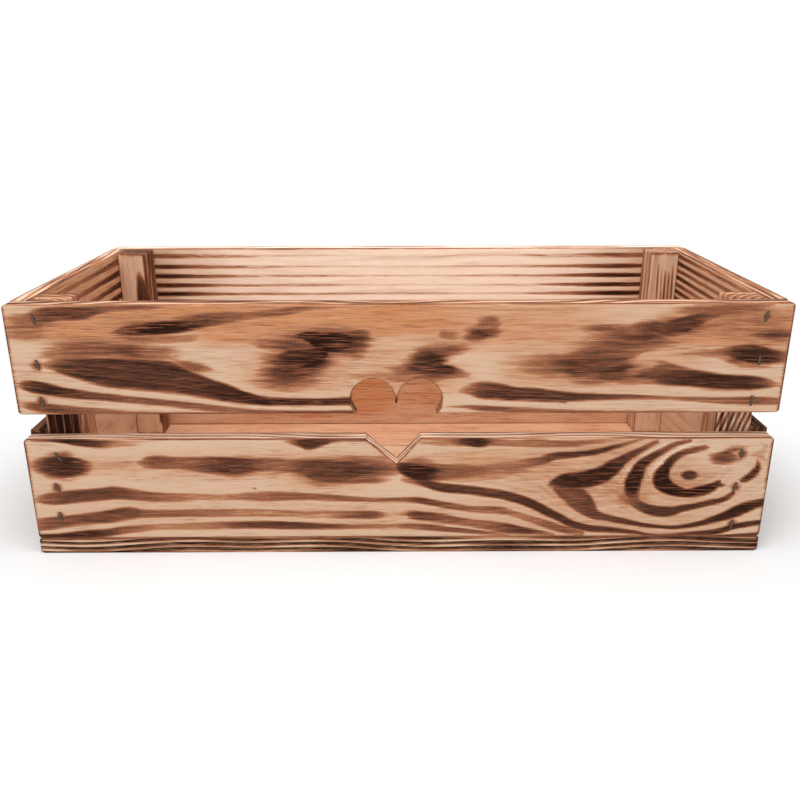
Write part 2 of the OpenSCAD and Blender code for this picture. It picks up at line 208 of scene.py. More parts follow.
# Soft smoke round the burns, with one spot of painted shade on the lower slat: mm right, mm up, mm of reach
# along, mm of reach up and how dark it is.
# Below 0 it wipes the smoke away.
UPPER_SMOKE = (
    (-165, 123.5, 27, 7, .55), (-136, 123.5, 18, 6.5, .5), (-114, 114, 12, 4, .5), (-132, 138, 30, 5, .3),
    (-41, 128, 24, 8.5, .6), (-58, 113, 17, 11, .78), (-68, 127, 13, 4.5, .42), (-25, 126.5, 9, 8, .5),
    (-48, 117.5, 13, 5, .62), (17, 114.5, 12, 8.5, .84), (29, 110.5, 12, 3.5, .55), (20, 122, 12, 5, .5),
    (3, 110.5, 9, 4.5, .5), (27, 132.5, 6, 3.5, .45), (31, 124.5, 7, 2, .42), (-14, 108, 12, 4, .24),
    (45, 133.5, 9, 4.5, .66), (40, 131, 6, 3, .5), (49, 140, 7, 2.5, .55), (62, 115, 18, 6, .14),
    (86, 114.5, 19, 8.5, .4), (107, 113.5, 24, 10, .66), (126, 109.5, 15, 6, .5), (120, 127, 26, 5.5, .6),
    (131, 135, 9, 4.5, .62), (110, 134.5, 15, 3.4, .5), (144, 110.5, 13, 7, .6), (131, 114, 6.5, 4, -.34),
    (148, 136, 16, 5.5, .64), (172, 145.5, 24, 3.4, .56), (190, 120, 17, 6.5, .7), (170, 121, 16, 2, .36),
    (205, 131.5, 12, 3.6, .6), (186, 136, 28, 8, .36), (-197, 137, 13, 7, .44),
)
LOWER_SMOKE_AND_SHADE = (
    (-190, 55.5, 13, 8, .92), (-166, 55.5, 14, 2.2, .2), (-118, 56.5, 26, 4, .4), (-93, 55, 15, 6, .5),
    (-64, 54, 14, 4, .5), (-36, 52.5, 24, 8, .76), (-13, 54, 14, 6, .5), (12, 51.5, 13, 8, .86),
    (31, 52.5, 16, 5, .6), (56, 53.5, 18, 4, .38), (36, 48, 22, 2, .25), (186, 61, 6.5, 5, .68),
    # The spot 120 mm right and 28 mm up is painted shade: it darkens the lower right of the slat, where less
    # light falls.
    (203, 62, 3.5, 8, .2), (131, 34, 5, 4.5, .42), (110, 60, 60, 24, .1), (120, 28, 84, 26, .15),
    (165, 52, 17, 12, .1),
)
# Pale tongues that the flame went round, with stations of mm right, mm up, half height and how clear.
UPPER_CLEAR = {
    "tongue": [(135, 121.5, .5, .8), (140, 121, 1.6, 1), (147, 119, 3, 1), (157, 117, 3.8, 1),
        (168, 115.5, 3.4, 1), (182, 112.5, 2.2, .7)],
    "right of the heart": [(24, 116, .5, .7), (32, 116, 2.4, 1), (41, 115.5, 5.2, 1), (50, 114, 6.5, .8),
        (62, 112, 6, .3)],
    "under the long burn": [(-108, 121, 3, .4), (-98, 119, 6, .8), (-84, 117, 8, .6)],
}
# Where the brush tore the rings round the knot into pale fibres, with stations like the burn marks'.
TORN = {
    "outer": [(126, 45, .8, .5), (130, 51.5, 1.4, 1), (135, 58, 1.4, 1), (141, 63, 1.2, .9),
        (149, 68, 1, .6)],
    "inner": [(141, 42, .8, .4), (142.5, 48, 1.4, 1), (146, 55, 1.5, 1), (151, 60, 1.4, 1),
        (158, 65.5, 1, .7), (165, 69, .8, .3)],
    "rim": [(184, 54, .5, .9), (183, 58, .5, .9), (180, 62, .5, .9)],
}
# Grain lines that the rings of each front slat follow, from the bottom up, as points right and up.
UPPER_FLOW = (
    ((-210, 85), (210, 85)),
    ((-210, 93), (-165, 89), (-88, 87), (40, 86), (210, 87)),
    ((-210, 105), (-168, 98), (-110, 91.5), (-66, 88), (0, 87.5), (40, 90), (100, 88), (210, 88)),
    ((-210, 110), (-180, 108), (-130, 100), (-95, 96), (-45, 93), (0, 95), (40, 99), (75, 97.5), (140, 95),
     (210, 93)),
    ((-210, 122), (-160, 121), (-125, 117), (-95, 106), (-60, 98), (-20, 98), (10, 106), (35, 110),
     (60, 106), (100, 103), (150, 106), (210, 104)),
    ((-210, 128), (-150, 130), (-110, 131), (-70, 124), (-40, 120), (0, 116), (30, 120), (60, 118),
     (150, 122), (210, 120)),
    ((-210, 133), (-150, 134), (-110, 138), (-60, 133), (-30, 128), (20, 126), (50, 130), (100, 128),
     (210, 130)),
    ((-210, 140), (-160, 143), (-100, 143), (-40, 141), (100, 138), (210, 141)),
    ((-210, 152), (210, 152)),
)
LOWER_FLOW = (
    ((-210, 6), (210, 6)),
    ((-210, 11), (-156, 15.5), (-115, 17.5), (-46, 17), (18, 16), (64, 11), (100, 8), (210, 8)),
    ((-210, 18.5), (-155, 26), (-86, 26), (-25, 24.5), (24, 22), (59, 16), (90, 11), (150, 9), (210, 10)),
    ((-210, 35), (-162, 39), (-135, 36), (-55, 36.5), (12, 33.5), (41, 28), (67, 24.5), (94, 15), (150, 11),
     (210, 14)),
    ((-210, 45), (-60, 45), (0, 46), (35, 40.5), (58, 38), (78, 30), (96, 21), (120, 15), (150, 12),
     (184, 14), (210, 19)),
    ((-210, 56), (-100, 56), (-40, 53), (15, 51), (50, 50), (80, 45), (90, 36), (110, 23), (137, 17),
     (166, 16), (190, 24), (210, 30)),
    ((-210, 66), (-100, 64), (-20, 62), (40, 60), (80, 56), (100, 50), (120, 38), (135, 26), (160, 20),
     (180, 26), (200, 38), (210, 44)),
    ((-210, 72), (0, 71), (60, 67), (100, 62), (125, 52), (135, 40), (150, 30), (165, 30), (180, 36),
     (195, 50), (210, 60)),
    ((-210, 78), (60, 78), (120, 72), (140, 60), (150, 52), (165, 44), (178, 50), (190, 64), (210, 78)),
)
# Where the flame only warmed the wood: mm right, mm up, mm of reach along and up, and how golden it is.
# Below 0 the wood is paler and fresher; on some faces that paleness is also painted light.
UPPER_WARMTH = (
    (-170, 137, 36, 7, 1.9), (-118, 144.5, 66, 5.5, 1.6), (-90, 134, 26, 8, 1.3), (-20, 141, 70, 11, 1.5),
    (60, 137, 56, 15, 1), (-12, 124, 22, 9, .55), (80, 112, 26, 9, .9), (112, 114, 36, 12, .9),
    (184, 136, 42, 10, 2.3), (150, 118, 16, 7, .6), (-55, 112, 30, 12, .8), (10, 108, 28, 9, .8),
)
LOWER_WARMTH = (
    (-172, 56, 40, 6, .5), (-90, 56, 60, 9, .5), (-40, 52, 26, 12, .6), (60, 57, 40, 8, .8),
    (122, 62, 24, 7, .5), (130, 40, 34, 12, .1), (-120, 30, 90, 14, .2), (0, 24, 90, 9, .3),
    (98, 36, 10, 8, .9), (134, 34, 9, 4, 1.6),
)
# The back upper slat's inner face is palest in the middle and golden towards both ends; its pale fresh tone
# is partly the unburnt wood's own colour and partly painted light.
BACK_WARMTH_AND_LIGHT = (
    (-200, 118, 45, 60, .4), (-200, 118, 75, 60, -.2), (-200, 118, 115, 60, -.9), (200, 118, 40, 60, .4),
    (200, 118, 62, 60, -.2), (200, 118, 95, 60, -.9),
)
BACK_LOW_WARMTH = ((-62, 37, 62, 20, 1.5), (46, 37, 62, 19, .9))
FLOW_COUNT = 3  # rings between two grain lines


def stripes(heights, levels, half=2.2):
    """Even burn stripes along a board, one for each (height, share), as dark as each (place, level) says."""
    return {f"stripe at {height}": [(place, height, half * (.4 + .6 * level), level * share)
                                    for place, level in levels]
            for height, share in heights}


def lobe_edge(centre, start, end):
    """The dark line round the edge of a lobe, as stations from one angle to the other."""
    parts, dark = 8, .8
    turns = [radians(start + (end - start) * i / parts) for i in range(parts + 1)]
    return [(centre[0] + LOBE_RADIUS * cos(t), centre[1] + LOBE_RADIUS * sin(t), THINNEST_MARK, dark)
            for t in turns]


UPPER_MARKS["left lobe edge"] = lobe_edge(HEART_LOBES[0], 220, -5)
UPPER_MARKS["right lobe edge"] = lobe_edge(HEART_LOBES[1], 185, -20)
BACK_STRIPES = stripes(
    ((143.5, .6), (135.5, .85), (128.5, 1), (121.5, .95), (115, 1), (109, .8), (103, .9), (96, .8)),
    ((-205, .5), (-178, 1), (-165, .95), (-150, .7), (-130, .44), (-100, .29), (-40, .18), (40, .15),
     (90, .21), (120, .42), (146, .8), (168, 1), (205, .7)), 1.6)
LEFT_STRIPES = stripes(
    ((143, .8), (135, 1), (127, .95), (119, 1), (111, .9), (103, .9), (95, .8)),
    ((-82, .45), (-30, .5), (20, .65), (50, .85), (82, 1)))
RIGHT_STRIPES = stripes(
    [(height, .8 + .2 * (height % 2)) for height in range(96, 147, 5)],
    ((-82, .6), (-30, .6), (20, .68), (55, .88), (82, 1)), 1.5)
POST_STREAKS = {  # along a post a station is mm up, mm right, half width and how dark
    "front left": {
        f"char {i}": [(up, -197 + 4.4 * i, half, 1) for up, half in ((60, 2.6), (78, 2.1), (110, 2.6))]
        for i in range(4)},
    "front right": {
        f"slant {i}": [(66, 178 + 3.2 * i, .6, .75), (92, 186 + 3.2 * i, .6, .75)] for i in range(7)},
    "back left": {
        "streak": [(136, -186, 1, .2), (128, -185, 3, .75), (112, -185, 4, .86), (70, -185, 4, .8)],
        "edge": [(148, -181, 1, .7), (100, -181, 1.5, .8), (20, -181, 1, .7)]},
    "back right": {
        f"streak {i}": [(140 - 2 * i % 7, 186 + 2.6 * i, .4, .2), (128, 186.5 + 2.6 * i, .5, .6),
                        (105, 187 + 2.6 * i, .6, .66), (60, 187 + 2.6 * i, .6, .6)]
        for i in range(5)},
}


def shade(red, green, blue):
    """A colour written as 0 to 255 on screen, as the light that Blender works with."""
    parts = [value / 255 for value in (red, green, blue)]
    return tuple(p / 12.92 if p <= .04045 else ((p + .055) / 1.055) ** 2.4 for p in parts)


def length(name, description, default, lowest=0):
    """A length property, written in millimetres."""
    return FloatProperty(name=name, description=description, default=default * MM, min=lowest * MM,
                         unit="LENGTH")


def colour(name, description, red, green, blue):
    """A colour property with its default as seen on screen."""
    return FloatVectorProperty(name=name, description=description, default=shade(red, green, blue),
                               subtype="COLOR", min=0, max=1)


class Crate(PropertyGroup):
    """Sizes of the woodwork's surface, and how the pieces are meshed."""

    ease: length("Eased Edge", "Rounding left on every edge by the brush", .6, .1)
    corner: length("Sanded Corner", "Radius of a board's corners, seen square on", 2, .5)
    sink: length("Brushed Depth", "How deep the wire brush cuts into burnt wood", .35)
    dent: length("Staple Dent", "How deep the wood is bruised round a staple", .75)
    pitch_along: length("Mesh Step Along", "Spacing of a board's points along its grain", 1.3, .5)
    pitch_across: length("Mesh Step Across", "Spacing of a board's points across its grain", .65, .3)


class Finish(PropertyGroup):
    """Colours of the wood, from untouched to charred, and of the staples and the stage."""

    pale: colour("Pale Wood", "Wood that the flame didn't reach", 214, 182, 155)
    # The fresh tone is partly painted light: on the back upper slat's inner face and on the lower front
    # slat's edges it lifts the wood as if more light fell there.
    fresh_and_lit: colour("Fresh Wood", "Newly planed wood inside the box", 252, 228, 206)
    tan: colour("Warmed Wood", "Wood that the flame only warmed", 203, 164, 131)
    toast: colour("Toasted Wood", "Orange wood at the edge of a burn", 184, 126, 90)
    warm: colour("Warm Wood", "Wood that the flame turned golden without burning it", 198, 130, 84)
    brown: colour("Brown Burn", "Wood that is lightly burnt", 144, 86, 60)
    dark: colour("Dark Burn", "Wood that is well burnt", 86, 48, 35)
    char: colour("Char", "The blackest wood", 38, 17, 10)
    line: colour("Summer Wood", "Hard pale lines that the brush leaves standing", 222, 178, 140)
    wire: colour("Staple Wire", "Dull zinc on the staples", 98, 88, 80)
    floor: colour("Floor", "The surface that the box stands on", 236, 236, 236)


class Wire:
    """An output socket of a material. Adding, taking away or multiplying wires adds the nodes for it."""

    def __init__(self, tree, socket=None):
        self.tree = tree
        self.socket = socket

    def node(self, kind, settings=None, sockets=None, out=0):
        """Adds a node, sets it up, feeds its sockets with numbers or wires and returns one of its outputs."""
        made = self.tree.nodes.new(kind)
        for name, value in (settings or {}).items():
            if name == "stops":
                ramp = made.color_ramp
                while len(ramp.elements) < len(value):
                    ramp.elements.new(1)
                for element, (place, tint) in zip(ramp.elements, value):
                    element.position = place
                    element.color = (*tint, 1)
            else:
                setattr(made, name, value)
        for name, value in (sockets or {}).items():
            socket = made.inputs[name]
            if isinstance(value, Wire):
                self.tree.links.new(value.socket, socket)
            elif socket.type == "RGBA" and len(value) == 3:
                socket.default_value = (*value, 1)
            else:
                socket.default_value = value
        return Wire(self.tree, made.outputs[out])

    def math(self, operation, *others):
        """This wire and any others through one Math node."""
        values = dict(enumerate((self, *others)))
        return self.node("ShaderNodeMath", {"operation": operation}, values)

    def __add__(self, other):
        return self.math("ADD", other)

    def __radd__(self, other):
        return self.math("ADD", other)

    def __sub__(self, other):
        return self.math("SUBTRACT", other)

    def __rsub__(self, other):
        swapped = {0: other, 1: self}
        return self.node("ShaderNodeMath", {"operation": "SUBTRACT"}, swapped)

    def __mul__(self, other):
        return self.math("MULTIPLY", other)

    def __rmul__(self, other):
        return self.math("MULTIPLY", other)

    def rise(self, start, end):
        """0 below start, 1 above end, with a smooth rise between."""
        sockets = {"Value": self, "From Min": start, "From Max": end}
        return self.node("ShaderNodeMapRange", {"interpolation_type": "SMOOTHSTEP"}, sockets)

    def stretched(self, x, y, z):
        """This vector with each part multiplied."""
        return self.node("ShaderNodeVectorMath", {"operation": "MULTIPLY"}, {0: self, 1: (x, y, z)})

    def noise(self, detail=2, roughness=.5):
        """Cloudy noise, one spot to each unit of this vector."""
        sockets = {"Vector": self, "Scale": 1, "Detail": detail, "Roughness": roughness}
        return self.node("ShaderNodeTexNoise", {}, sockets)

    def mix(self, first, second, share):
        """One colour mixed with another by a share from 0 to 1."""
        sockets = {0: share, 6: first, 7: second}
        return self.node("ShaderNodeMix", {"data_type": "RGBA", "clamp_factor": True}, sockets, out=2)

    def toward(self, other, share):
        """This colour mixed with another."""
        return self.mix(self, other, share)


def material(name):
    """A new material, its shader node and a wire to build on."""
    made = bpy.data.materials.new(name)
    made.use_nodes = True
    return made, made.node_tree.nodes["Principled BSDF"], Wire(made.node_tree)


def feed(made, shader, sockets):
    """Links wires to the shader, and sets the numbers that are the same all over."""
    for name, value in sockets.items():
        if isinstance(value, Wire):
            made.node_tree.links.new(value.socket, shader.inputs[name])
        else:
            shader.inputs[name].default_value = value


def along_grain(wire, lying, along, across):
    """The piece's own coordinates, squeezed so that one unit is a spot that long and that wide in metres."""
    stretch = {axis: 1 / across for axis in "XYZ"}
    stretch[LYING[lying][0]] = 1 / along
    place = wire.node("ShaderNodeTexCoord", out=3)
    return place.stretched(stretch["X"], stretch["Y"], stretch["Z"])


def scorched_wood(lying):
    """Flame-scorched, brushed softwood with its grain along one of the box's directions."""
    finish = bpy.context.scene.finish
    made, shader, wire = material(f"scorched_{lying}")

    def spots(along, across, detail=2, roughness=.5):
        return along_grain(wire, lying, along * MM, across * MM).noise(detail, roughness)

    def painted(name):
        return wire.node("ShaderNodeAttribute", {"attribute_name": name}, out=2)

    # What the boards carry at their points, and noise drawn out along the grain, coarse to fine.
    burn, flame, warmth, ring = (painted(name) for name in ("burn", "ring_burn", "warmth", "ring"))
    strands = spots(34, 2, 2, .55)
    fibres = spots(12, .6, 3, .7)
    hairs = spots(16, .5, 2, .6)
    patches = spots(60, 14, 2, .5)
    place = wire.node("ShaderNodeTexCoord", out=3)
    run = wire.node("ShaderNodeSeparateXYZ", {}, {0: place}, out="XYZ".index(LYING[lying][0]))
    rollers = (run * (2 * pi / (PLANER_PITCH * MM)) + strands * 5).math("SINE")
    rollers = rollers * spots(8, 1.4, 1, .5).rise(.4, .6)
    # Each ring is soft early wood, which the flame takes first, and a hard line of summer wood.
    year = (ring + strands * .16 + fibres * .05).math("FRACT")
    early = year.rise(.12, .7) * (1 - year.rise(.84, .95))
    summer = year.rise(.82, .93) * (1 - year.rise(.97, 1))
    # How scorched each spot is: the burn marks, frayed along the fibres, and the darkened soft rings.
    ragged = burn.rise(.04, .35) * (1 - burn.rise(.6, 1) * .8) * .9 + .08
    streaks = (strands - .5) * .6 + (fibres - .5) * 1.4
    scorch = burn + streaks * ragged + early * flame * (.75 + (patches - .5) * 1.3)
    scorch = scorch + (patches - .5) * .10 + rollers * burn.rise(.1, .5) * (1 - burn * .5) * .12
    scorch = (scorch - summer * flame * .25).math("MAXIMUM", 0)
    # Bare wood runs from fresh to golden, and the burn's colours come over it. On some faces the fresh end is
    # painted light.
    gold = warmth * (.85 + (patches - .5) * .9 + (strands - .5) * 1.2 + (fibres - .5) * 1.2)
    clean = wire.mix(finish.pale, finish.warm, gold).toward(finish.fresh_and_lit, gold * -1)
    stops = [(0, finish.tan), (.24, finish.toast), (.52, finish.brown), (.74, finish.dark),
             (.96, finish.char)]
    burnt = wire.node("ShaderNodeValToRGB", {"stops": stops}, {"Fac": scorch})
    colour_now = clean.toward(burnt, scorch.rise(0, .3))
    colour_now = colour_now.toward(finish.line, summer * flame * .3)
    # Thin dark streaks, pale hairs and grey fibres, fewer where the wood is fresh.
    worn = gold.rise(-1.4, 0) * .75 + .25
    thin = hairs.rise(.53, .66) * (patches.rise(.35, .6) * .5 + gold * .55 + burn * .25)
    thin = thin + strands.rise(.5, .68) * (.06 + gold.rise(0, 1) * .26) * (1 - burn)
    colour_now = colour_now.toward(finish.brown, thin * worn)
    bare = (1 - burn).math("MAXIMUM", 0)
    colour_now = colour_now.toward(finish.line, (1 - hairs.rise(.32, .46)) * .3 * bare)
    colour_now = colour_now.toward(finish.tan, fibres.rise(.45, .75) * .5 * (1 - burn) * worn)
    height = summer * flame * .5 - scorch * .8 + fibres * .6 + hairs * .5
    bump = wire.node("ShaderNodeBump", {}, {"Strength": .6, "Distance": .3 * MM, "Height": height})
    roughness = .62 + scorch.rise(0, 1) * .16 + (fibres - .5) * .12
    feed(made, shader, {"Base Color": colour_now, "Roughness": roughness, "Normal": bump,
                        "Specular IOR Level": .06})
    return made


def zinc_wire():
    """Dull zinc-coated wire, darkened where the flame passed over it."""
    finish = bpy.context.scene.finish
    made, shader, wire = material("zinc_wire")
    place = wire.node("ShaderNodeTexCoord", out=3)
    grime = place.stretched(900, 900, 900).noise(3, .6)
    drawn = place.stretched(2500, 2500, 400).noise(1, .5)
    soot = grime.rise(.42, .68)
    feed(made, shader, {"Base Color": wire.mix(finish.wire, finish.dark, soot * .7),
                        "Roughness": .38 + soot * .4 + (drawn - .5) * .2, "Metallic": .85 - soot * .5,
                        "Normal": wire.node("ShaderNodeBump", {}, {"Strength": .3, "Distance": .05 * MM,
                                                                  "Height": grime + drawn})})
    return made


def seen_rays(wire):
    """1 for rays from the camera, from a mirror or through glass, and 0 for all others."""
    camera, mirror, through = (wire.node("ShaderNodeLightPath", out=ray) for ray in RAYS)
    return camera.math("MAXIMUM", mirror).math("MAXIMUM", through)


def pale_floor():
    """A pale matt floor that keeps the box's shadow close by and turns plain white further out."""
    finish = bpy.context.scene.finish
    made, shader, wire = material("pale_floor")
    place = wire.node("ShaderNodeTexCoord", out=3)
    speckle = place.stretched(600, 600, 600).noise(2, .5)
    feed(made, shader, {"Base Color": wire.mix(finish.floor, (.8, .8, .8), speckle * .05), "Roughness": .9,
                        "Specular IOR Level": .1})
    white = wire.node("ShaderNodeEmission", {}, {"Color": (1, 1, 1), "Strength": 1.0})
    seen = seen_rays(wire)
    away = place.stretched(1 / SHADE_REACH[0], 1 / SHADE_REACH[1], 0)
    away = away.node("ShaderNodeVectorMath", {"operation": "LENGTH"}, {0: away}, out=1)
    mixed = wire.node("ShaderNodeMixShader", {}, {0: seen * away.rise(.85, 1.35),
                                                 1: Wire(made.node_tree, shader.outputs[0]), 2: white})
    output = made.node_tree.nodes["Material Output"]
    made.node_tree.links.new(mixed.socket, output.inputs["Surface"])
    return made


def smoothed(stations, parts=4):
    """The same mark with stations added on a smooth curve through its own."""
    own = np.array(stations, float)
    ends = np.vstack([2 * own[0] - own[1], own, 2 * own[-1] - own[-2]])
    made = [own[0]]
    for before, start, end, after in zip(ends, ends[1:], ends[2:], ends[3:]):
        for t in np.arange(1, parts + 1) / parts:
            square = (2 * before - 5 * start + 4 * end - after) * t ** 2
            cube = (3 * start - before - 3 * end + after) * t ** 3
            made.append(start + ((end - before) * t + (square + cube)) / 2)
    made = np.array(made)
    made[:, 2] = np.maximum(made[:, 2], THINNEST_MARK)
    made[:, 3] = np.clip(made[:, 3], 0, 1)
    return made


def mark_at(along, across, stations):
    """How dark one burn mark is at each point: full on its line and fading over its edge."""
    dark = np.zeros(len(along))
    stations = smoothed(stations)
    for (x0, z0, h0, s0), (x1, z1, h1, s1) in zip(stations, stations[1:]):
        near = ((np.abs(along - (x0 + x1) / 2) < abs(x1 - x0) / 2 + MARK_REACH)
                & (np.abs(across - (z0 + z1) / 2) < abs(z1 - z0) / 2 + MARK_REACH))
        run, climb = x1 - x0, z1 - z0
        share = ((along[near] - x0) * run + (across[near] - z0) * climb) / (run * run + climb * climb)
        share = np.clip(share, 0, 1)
        off = np.hypot(along[near] - x0 - share * run, across[near] - z0 - share * climb)
        half = h0 + (h1 - h0) * share
        feather = .55 + .14 * half
        inside = np.clip((half + feather - off) / (2 * feather), 0, 1)
        inside = inside * inside * (3 - 2 * inside)
        dark[near] = np.maximum(dark[near], inside * (s0 + (s1 - s0) * share))
    return dark


def grain_count(along, across, flow):
    """Counts the grain lines up a face whose flow is listed."""
    heights = [np.interp(along, *zip(*line)) for line in flow]
    count = np.zeros(len(along))
    for number, (low, high) in enumerate(zip(heights, heights[1:])):
        between = (across >= low) & (across < high)
        count[between] = number + ((across - low) / np.maximum(high - low, .1))[between]
    return count * FLOW_COUNT


def clouds(along, across, reach, seed):
    """Soft blotches from 0 to 1, as long as reach and a fifth as high."""
    knots = np.random.default_rng(seed).random((CLOUD_KNOTS, CLOUD_KNOTS))
    u, v = along / reach + CLOUD_SHIFT, across / (reach * CLOUD_FLAT) + CLOUD_SHIFT
    i, j = np.floor(u).astype(int), np.floor(v).astype(int)
    s, t = u - i, v - j
    s, t = s * s * (3 - 2 * s), t * t * (3 - 2 * t)
    i, j = i % (CLOUD_KNOTS - 1), j % (CLOUD_KNOTS - 1)
    low = knots[i, j] * (1 - s) + knots[i + 1, j] * s
    high = knots[i, j + 1] * (1 - s) + knots[i + 1, j + 1] * s
    return low * (1 - t) + high * t


@dataclass
class Board:
    """One board of the box: its place from the CAD node, its outline, its growth rings and its burns.

    Where a field has two or three values, they are for the outer face, the inner face and the edges.
    """

    name: str
    lying: str
    seed: int
    pith: tuple = (-70, 25)  # where the heart of the tree is: across from the board's middle, and behind it
    slope: tuple = (.01, .02)  # how far that heart moves across and back for each mm along
    pitch: float = 8  # width of one growth ring
    flame: tuple = (.6, .6)  # how far the flame darkened the soft rings
    marks: tuple = (None, None)
    smoke: tuple = ()
    clear: dict = None
    torn: dict = None
    warmth: tuple = ((), ())
    gold: tuple = (.1, .5)  # how golden the bare wood is, below 0 where it is paler and fresher, which on some faces is also painted light
    walls: tuple = (.1, .3)  # how burnt the edges are, and how dark the rings in them
    lean: float = 0  # how much darker the edges get for each mm along
    cut: str = ""
    flow: tuple = ()
    fine: float = 2  # how many times more rings the edges show
    coarse: float = 1  # how many times wider the mesh steps are

    def __post_init__(self):
        self.axes = ["XYZ".index(axis) for axis in LYING[self.lying]]
        low, high = (np.array(corner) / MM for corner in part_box(self.name))
        self.low, self.high = low[self.axes], high[self.axes]
        self.out = -1 if self.lying == "floor" or self.low[2] + self.high[2] < 0 else 1
        self.face = self.low[2] if self.out < 0 else self.high[2]
        self.thick = self.high[2] - self.low[2]

    def corner(self):
        """Radius of the corners of the board's face."""
        crate = bpy.context.scene.crate
        return (crate.corner if self.lying == "slat" else crate.ease) / MM

    def rounding(self, along):
        """Radius of the edges: full corners at the ends of the floor boards, eased edges elsewhere."""
        crate = bpy.context.scene.crate
        from_end = np.minimum(along - self.low[0], self.high[0] - along)
        at_end = (self.lying == "floor") & (from_end < crate.corner / MM)
        return np.where(at_end, crate.corner, crate.ease) / MM

    def inside(self, along, across):
        """Distance in from the board's outline, below 0 outside the wood."""
        radius = self.corner()
        half = (self.high[:2] - self.low[:2]) / 2 - radius
        mid = (self.high[:2] + self.low[:2]) / 2
        u, v = np.abs(along - mid[0]) - half[0], np.abs(across - mid[1]) - half[1]
        edge = radius - np.hypot(np.maximum(u, 0), np.maximum(v, 0)) - np.minimum(np.maximum(u, v), 0)
        if self.cut == "heart":
            for centre in HEART_LOBES:
                edge = np.minimum(edge, np.hypot(along - centre[0], across - centre[1]) - LOBE_RADIUS)
            between = (along > HEART_LOBES[0][0]) & (along < HEART_LOBES[1][0])
            edge = np.where(between, np.minimum(edge, across - HEART_FOOT), edge)
        if self.cut == "notch":
            walls = []
            for start, end in zip(NOTCH[1:], NOTCH[2:]):
                run, climb = end[0] - start[0], end[1] - start[1]
                off = (along - start[0]) * climb - (across - start[1]) * run
                walls.append(off / math.hypot(run, climb))
            edge = np.minimum(edge, np.maximum(*walls))
        return edge

    def outline(self, step):
        """Points round the board's face with the wood on the left, no further apart than step."""
        radius = self.corner()
        (left, low, _), (right, high, _) = self.low, self.high

        def arc(centre, size, start, end, count):
            turns = [radians(start + (end - start) * i / count) for i in range(count + 1)]
            return [(centre[0] + size * cos(t), centre[1] + size * sin(t)) for t in turns]

        loop = arc((left + radius, low + radius), radius, 180, 270, 4)
        if self.cut == "heart":
            (first, rise), (second, _) = HEART_LOBES
            wide = math.degrees(math.asin((rise - low) / LOBE_RADIUS))
            tip = math.degrees(math.asin((rise - HEART_FOOT) / LOBE_RADIUS))
            loop += arc((first, rise), LOBE_RADIUS, 180 + wide, -tip, 60)
            loop += arc((second, rise), LOBE_RADIUS, 180 + tip, -wide, 60)
        loop += arc((right - radius, low + radius), radius, 270, 360, 4)
        loop += arc((right - radius, high - radius), radius, 0, 90, 4)
        if self.cut == "notch":
            loop += NOTCH[::-1]
        loop += arc((left + radius, high - radius), radius, 90, 180, 4)
        points = []
        for (x0, z0), (x1, z1) in zip(loop, loop[1:] + loop[:1]):
            count = max(1, math.ceil(math.hypot(x1 - x0, z1 - z0) / step))
            points += [(x0 + (x1 - x0) * i / count, z0 + (z1 - z0) * i / count) for i in range(count)]
        return np.array(points)

    def rings(self, along, across, depth, side=1):
        """Growth rings, counted along a face's own flow or from the heart of the tree beside the board."""
        if side == 0 and self.flow:
            return grain_count(along, across, self.flow)
        mid = (self.low[1] + self.high[1]) / 2
        bend = 1.6 * np.sin(along / 41 + self.seed) + .7 * np.sin(along / 15 + self.seed * 2)
        up = across - mid - self.pith[0] - self.slope[0] * along + bend
        back = depth + self.pith[1] + self.slope[1] * along + bend
        return np.hypot(up, back) / self.pitch + 7 * self.seed

    def crowns(self):
        """Where the staple crowns lie on the board's outer face: middle along, middle across, lean."""
        found = []
        for name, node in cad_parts.items():
            if not name.endswith("staples"):
                continue
            points = np.array([v.co for v in node.data.vertices])[:, self.axes] / MM
            near = points[np.abs(points[:, 2] - self.face) < CROWN_DEPTH][:, :2]
            near = near[self.inside(near[:, 0], near[:, 1]) > 0]
            while len(near):
                mine = np.hypot(*(near - near[0]).T) < CROWN_SPREAD
                group, near = near[mine], near[~mine]
                middle = (group.min(0) + group.max(0)) / 2
                run, climb = (group - group.mean(0)).T
                turn = .5 * math.atan2(2 * (run @ climb), (run ** 2 - climb ** 2).sum())
                found.append((*middle, turn))
        return found

    def build(self, wood):
        """Meshes the board, paints its burns and rings into it, and stands it in for its CAD node."""
        crate = bpy.context.scene.crate
        ease = crate.ease / MM
        step_along, step_across = crate.pitch_along / MM * self.coarse, crate.pitch_across / MM * self.coarse
        rim = self.outline(step_along)
        travel = np.roll(rim, -1, 0) - np.roll(rim, 1, 0)
        inward = np.c_[-travel[:, 1], travel[:, 0]] / np.hypot(*travel.T)[:, None]
        flat = [rim]
        for share in (.3, 1):
            shifted = rim + inward * ease * share
            flat.append(shifted[self.inside(*shifted.T) > ease * share * .8])
        counts = [max(2, round((high - low) / step)) for low, high, step in
                  zip(self.low, self.high, (step_along, step_across))]
        lines = [np.linspace(low, high, count) for low, high, count in zip(self.low, self.high, counts)]
        grid = np.stack(np.meshgrid(*lines), -1).reshape(-1, 2)
        grid = grid[self.inside(*grid.T) > ease + .4 * step_across]
        crowns = self.crowns()
        for along, across, _ in crowns:
            away = np.maximum(np.abs(grid[:, 0] - along), np.abs(grid[:, 1] - across))
            grid = grid[away > STAPLE_PATCH + .2]
            line = np.linspace(-STAPLE_PATCH, STAPLE_PATCH, PATCH_POINTS)
            patch = np.stack(np.meshgrid(line, line), -1).reshape(-1, 2) + (along, across)
            flat.append(patch[self.inside(*patch.T) > ease + .3])
        flat.append(grid)
        flat = np.concatenate(flat)
        edges = [(i, (i + 1) % len(rim)) for i in range(len(rim))]
        points, _, faces, *_ = delaunay_2d_cdt([Vector(p) for p in flat], edges, [], 1, 1e-5)
        sheet = np.array([tuple(p) for p in points])
        faces = np.array(faces)
        self.mesh(sheet, faces, len(rim), inward, crowns, wood)

